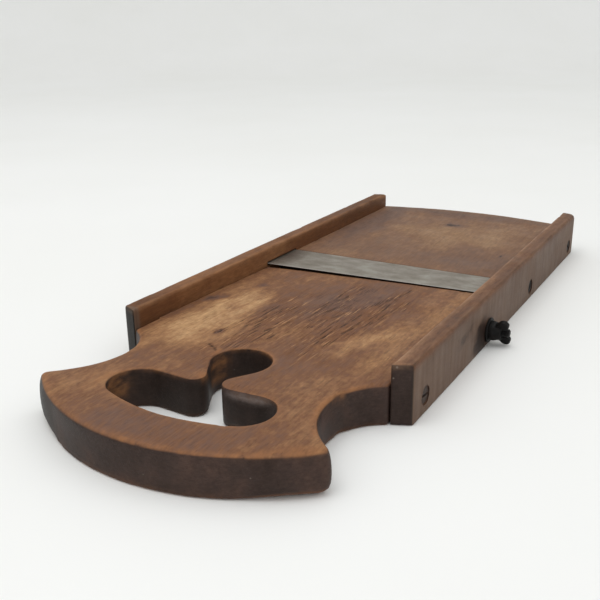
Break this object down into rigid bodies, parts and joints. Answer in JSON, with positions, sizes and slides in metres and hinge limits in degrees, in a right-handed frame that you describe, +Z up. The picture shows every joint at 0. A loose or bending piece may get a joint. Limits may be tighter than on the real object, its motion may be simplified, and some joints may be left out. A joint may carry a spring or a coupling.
{
  "type": "mandoline slicer",
  "caption": "Wooden vegetable slicer with handle and hand hole, side rails, a fixed steel cross blade and a tilting front bed that a clamp bolt with wing nut holds at slice height.",
  "frame": {"origin": "on the underside, midway between the side rails and midway along them, on the rear board's flat bottom", "axes": "+X across the bed to the wing nut's side, +Y from the handle to the far end, +Z up"},
  "size_m": [0.1728, 0.4067, 0.0286],
  "materials": {
    "front_wood": "worn oiled walnut, torn grain near the middle",
    "rear_wood": "worn oiled walnut, smooth",
    "rail_wood": "worn oiled walnut, sawn faces",
    "blade_steel": "patinated, rubbed lengthwise",
    "screw_iron": "blackened, dull",
    "clamp_iron": "black, dull"
  },
  "bodies": {
    "frame": {"rear_board": "rear_wood", "left_rail": "rail_wood", "right_rail": "rail_wood", "blade": "blade_steel", "right_middle_screw": "screw_iron", "right_rear_screw": "screw_iron", "left_middle_screw": "screw_iron", "left_rear_screw": "screw_iron"},
    "front_bed": {"front_board": "front_wood", "right_pivot_screw": "screw_iron", "left_pivot_screw": "screw_iron", "clamp_bolt": "clamp_iron"},
    "washer": {"nut_washer": "clamp_iron"},
    "nut": {"wing_nut": "clamp_iron"}
  },
  "joints": [
    {"name": "bed_tilt", "type": "hinge", "parent": "frame", "child": "front_bed", "pos_m": [0, -0.1358, 0.0087], "axis": [1, 0, 0], "range_deg": [-1.4, 0.6]},
    {"name": "washer_slide", "type": "slide", "parent": "front_bed", "child": "washer", "axis": [1, 0, 0], "range_m": [0, 0.0016]},
    {"name": "nut_turn", "type": "hinge", "parent": "washer", "child": "nut", "pos_m": [0, -0.0465, 0.0083], "axis": [1, 0, 0], "range_deg": [0, 720]}
  ],
  "couplings": [
    {"joint": "washer_slide", "follows": "nut_turn", "m_per_rad": 0.00012732}
  ]
}
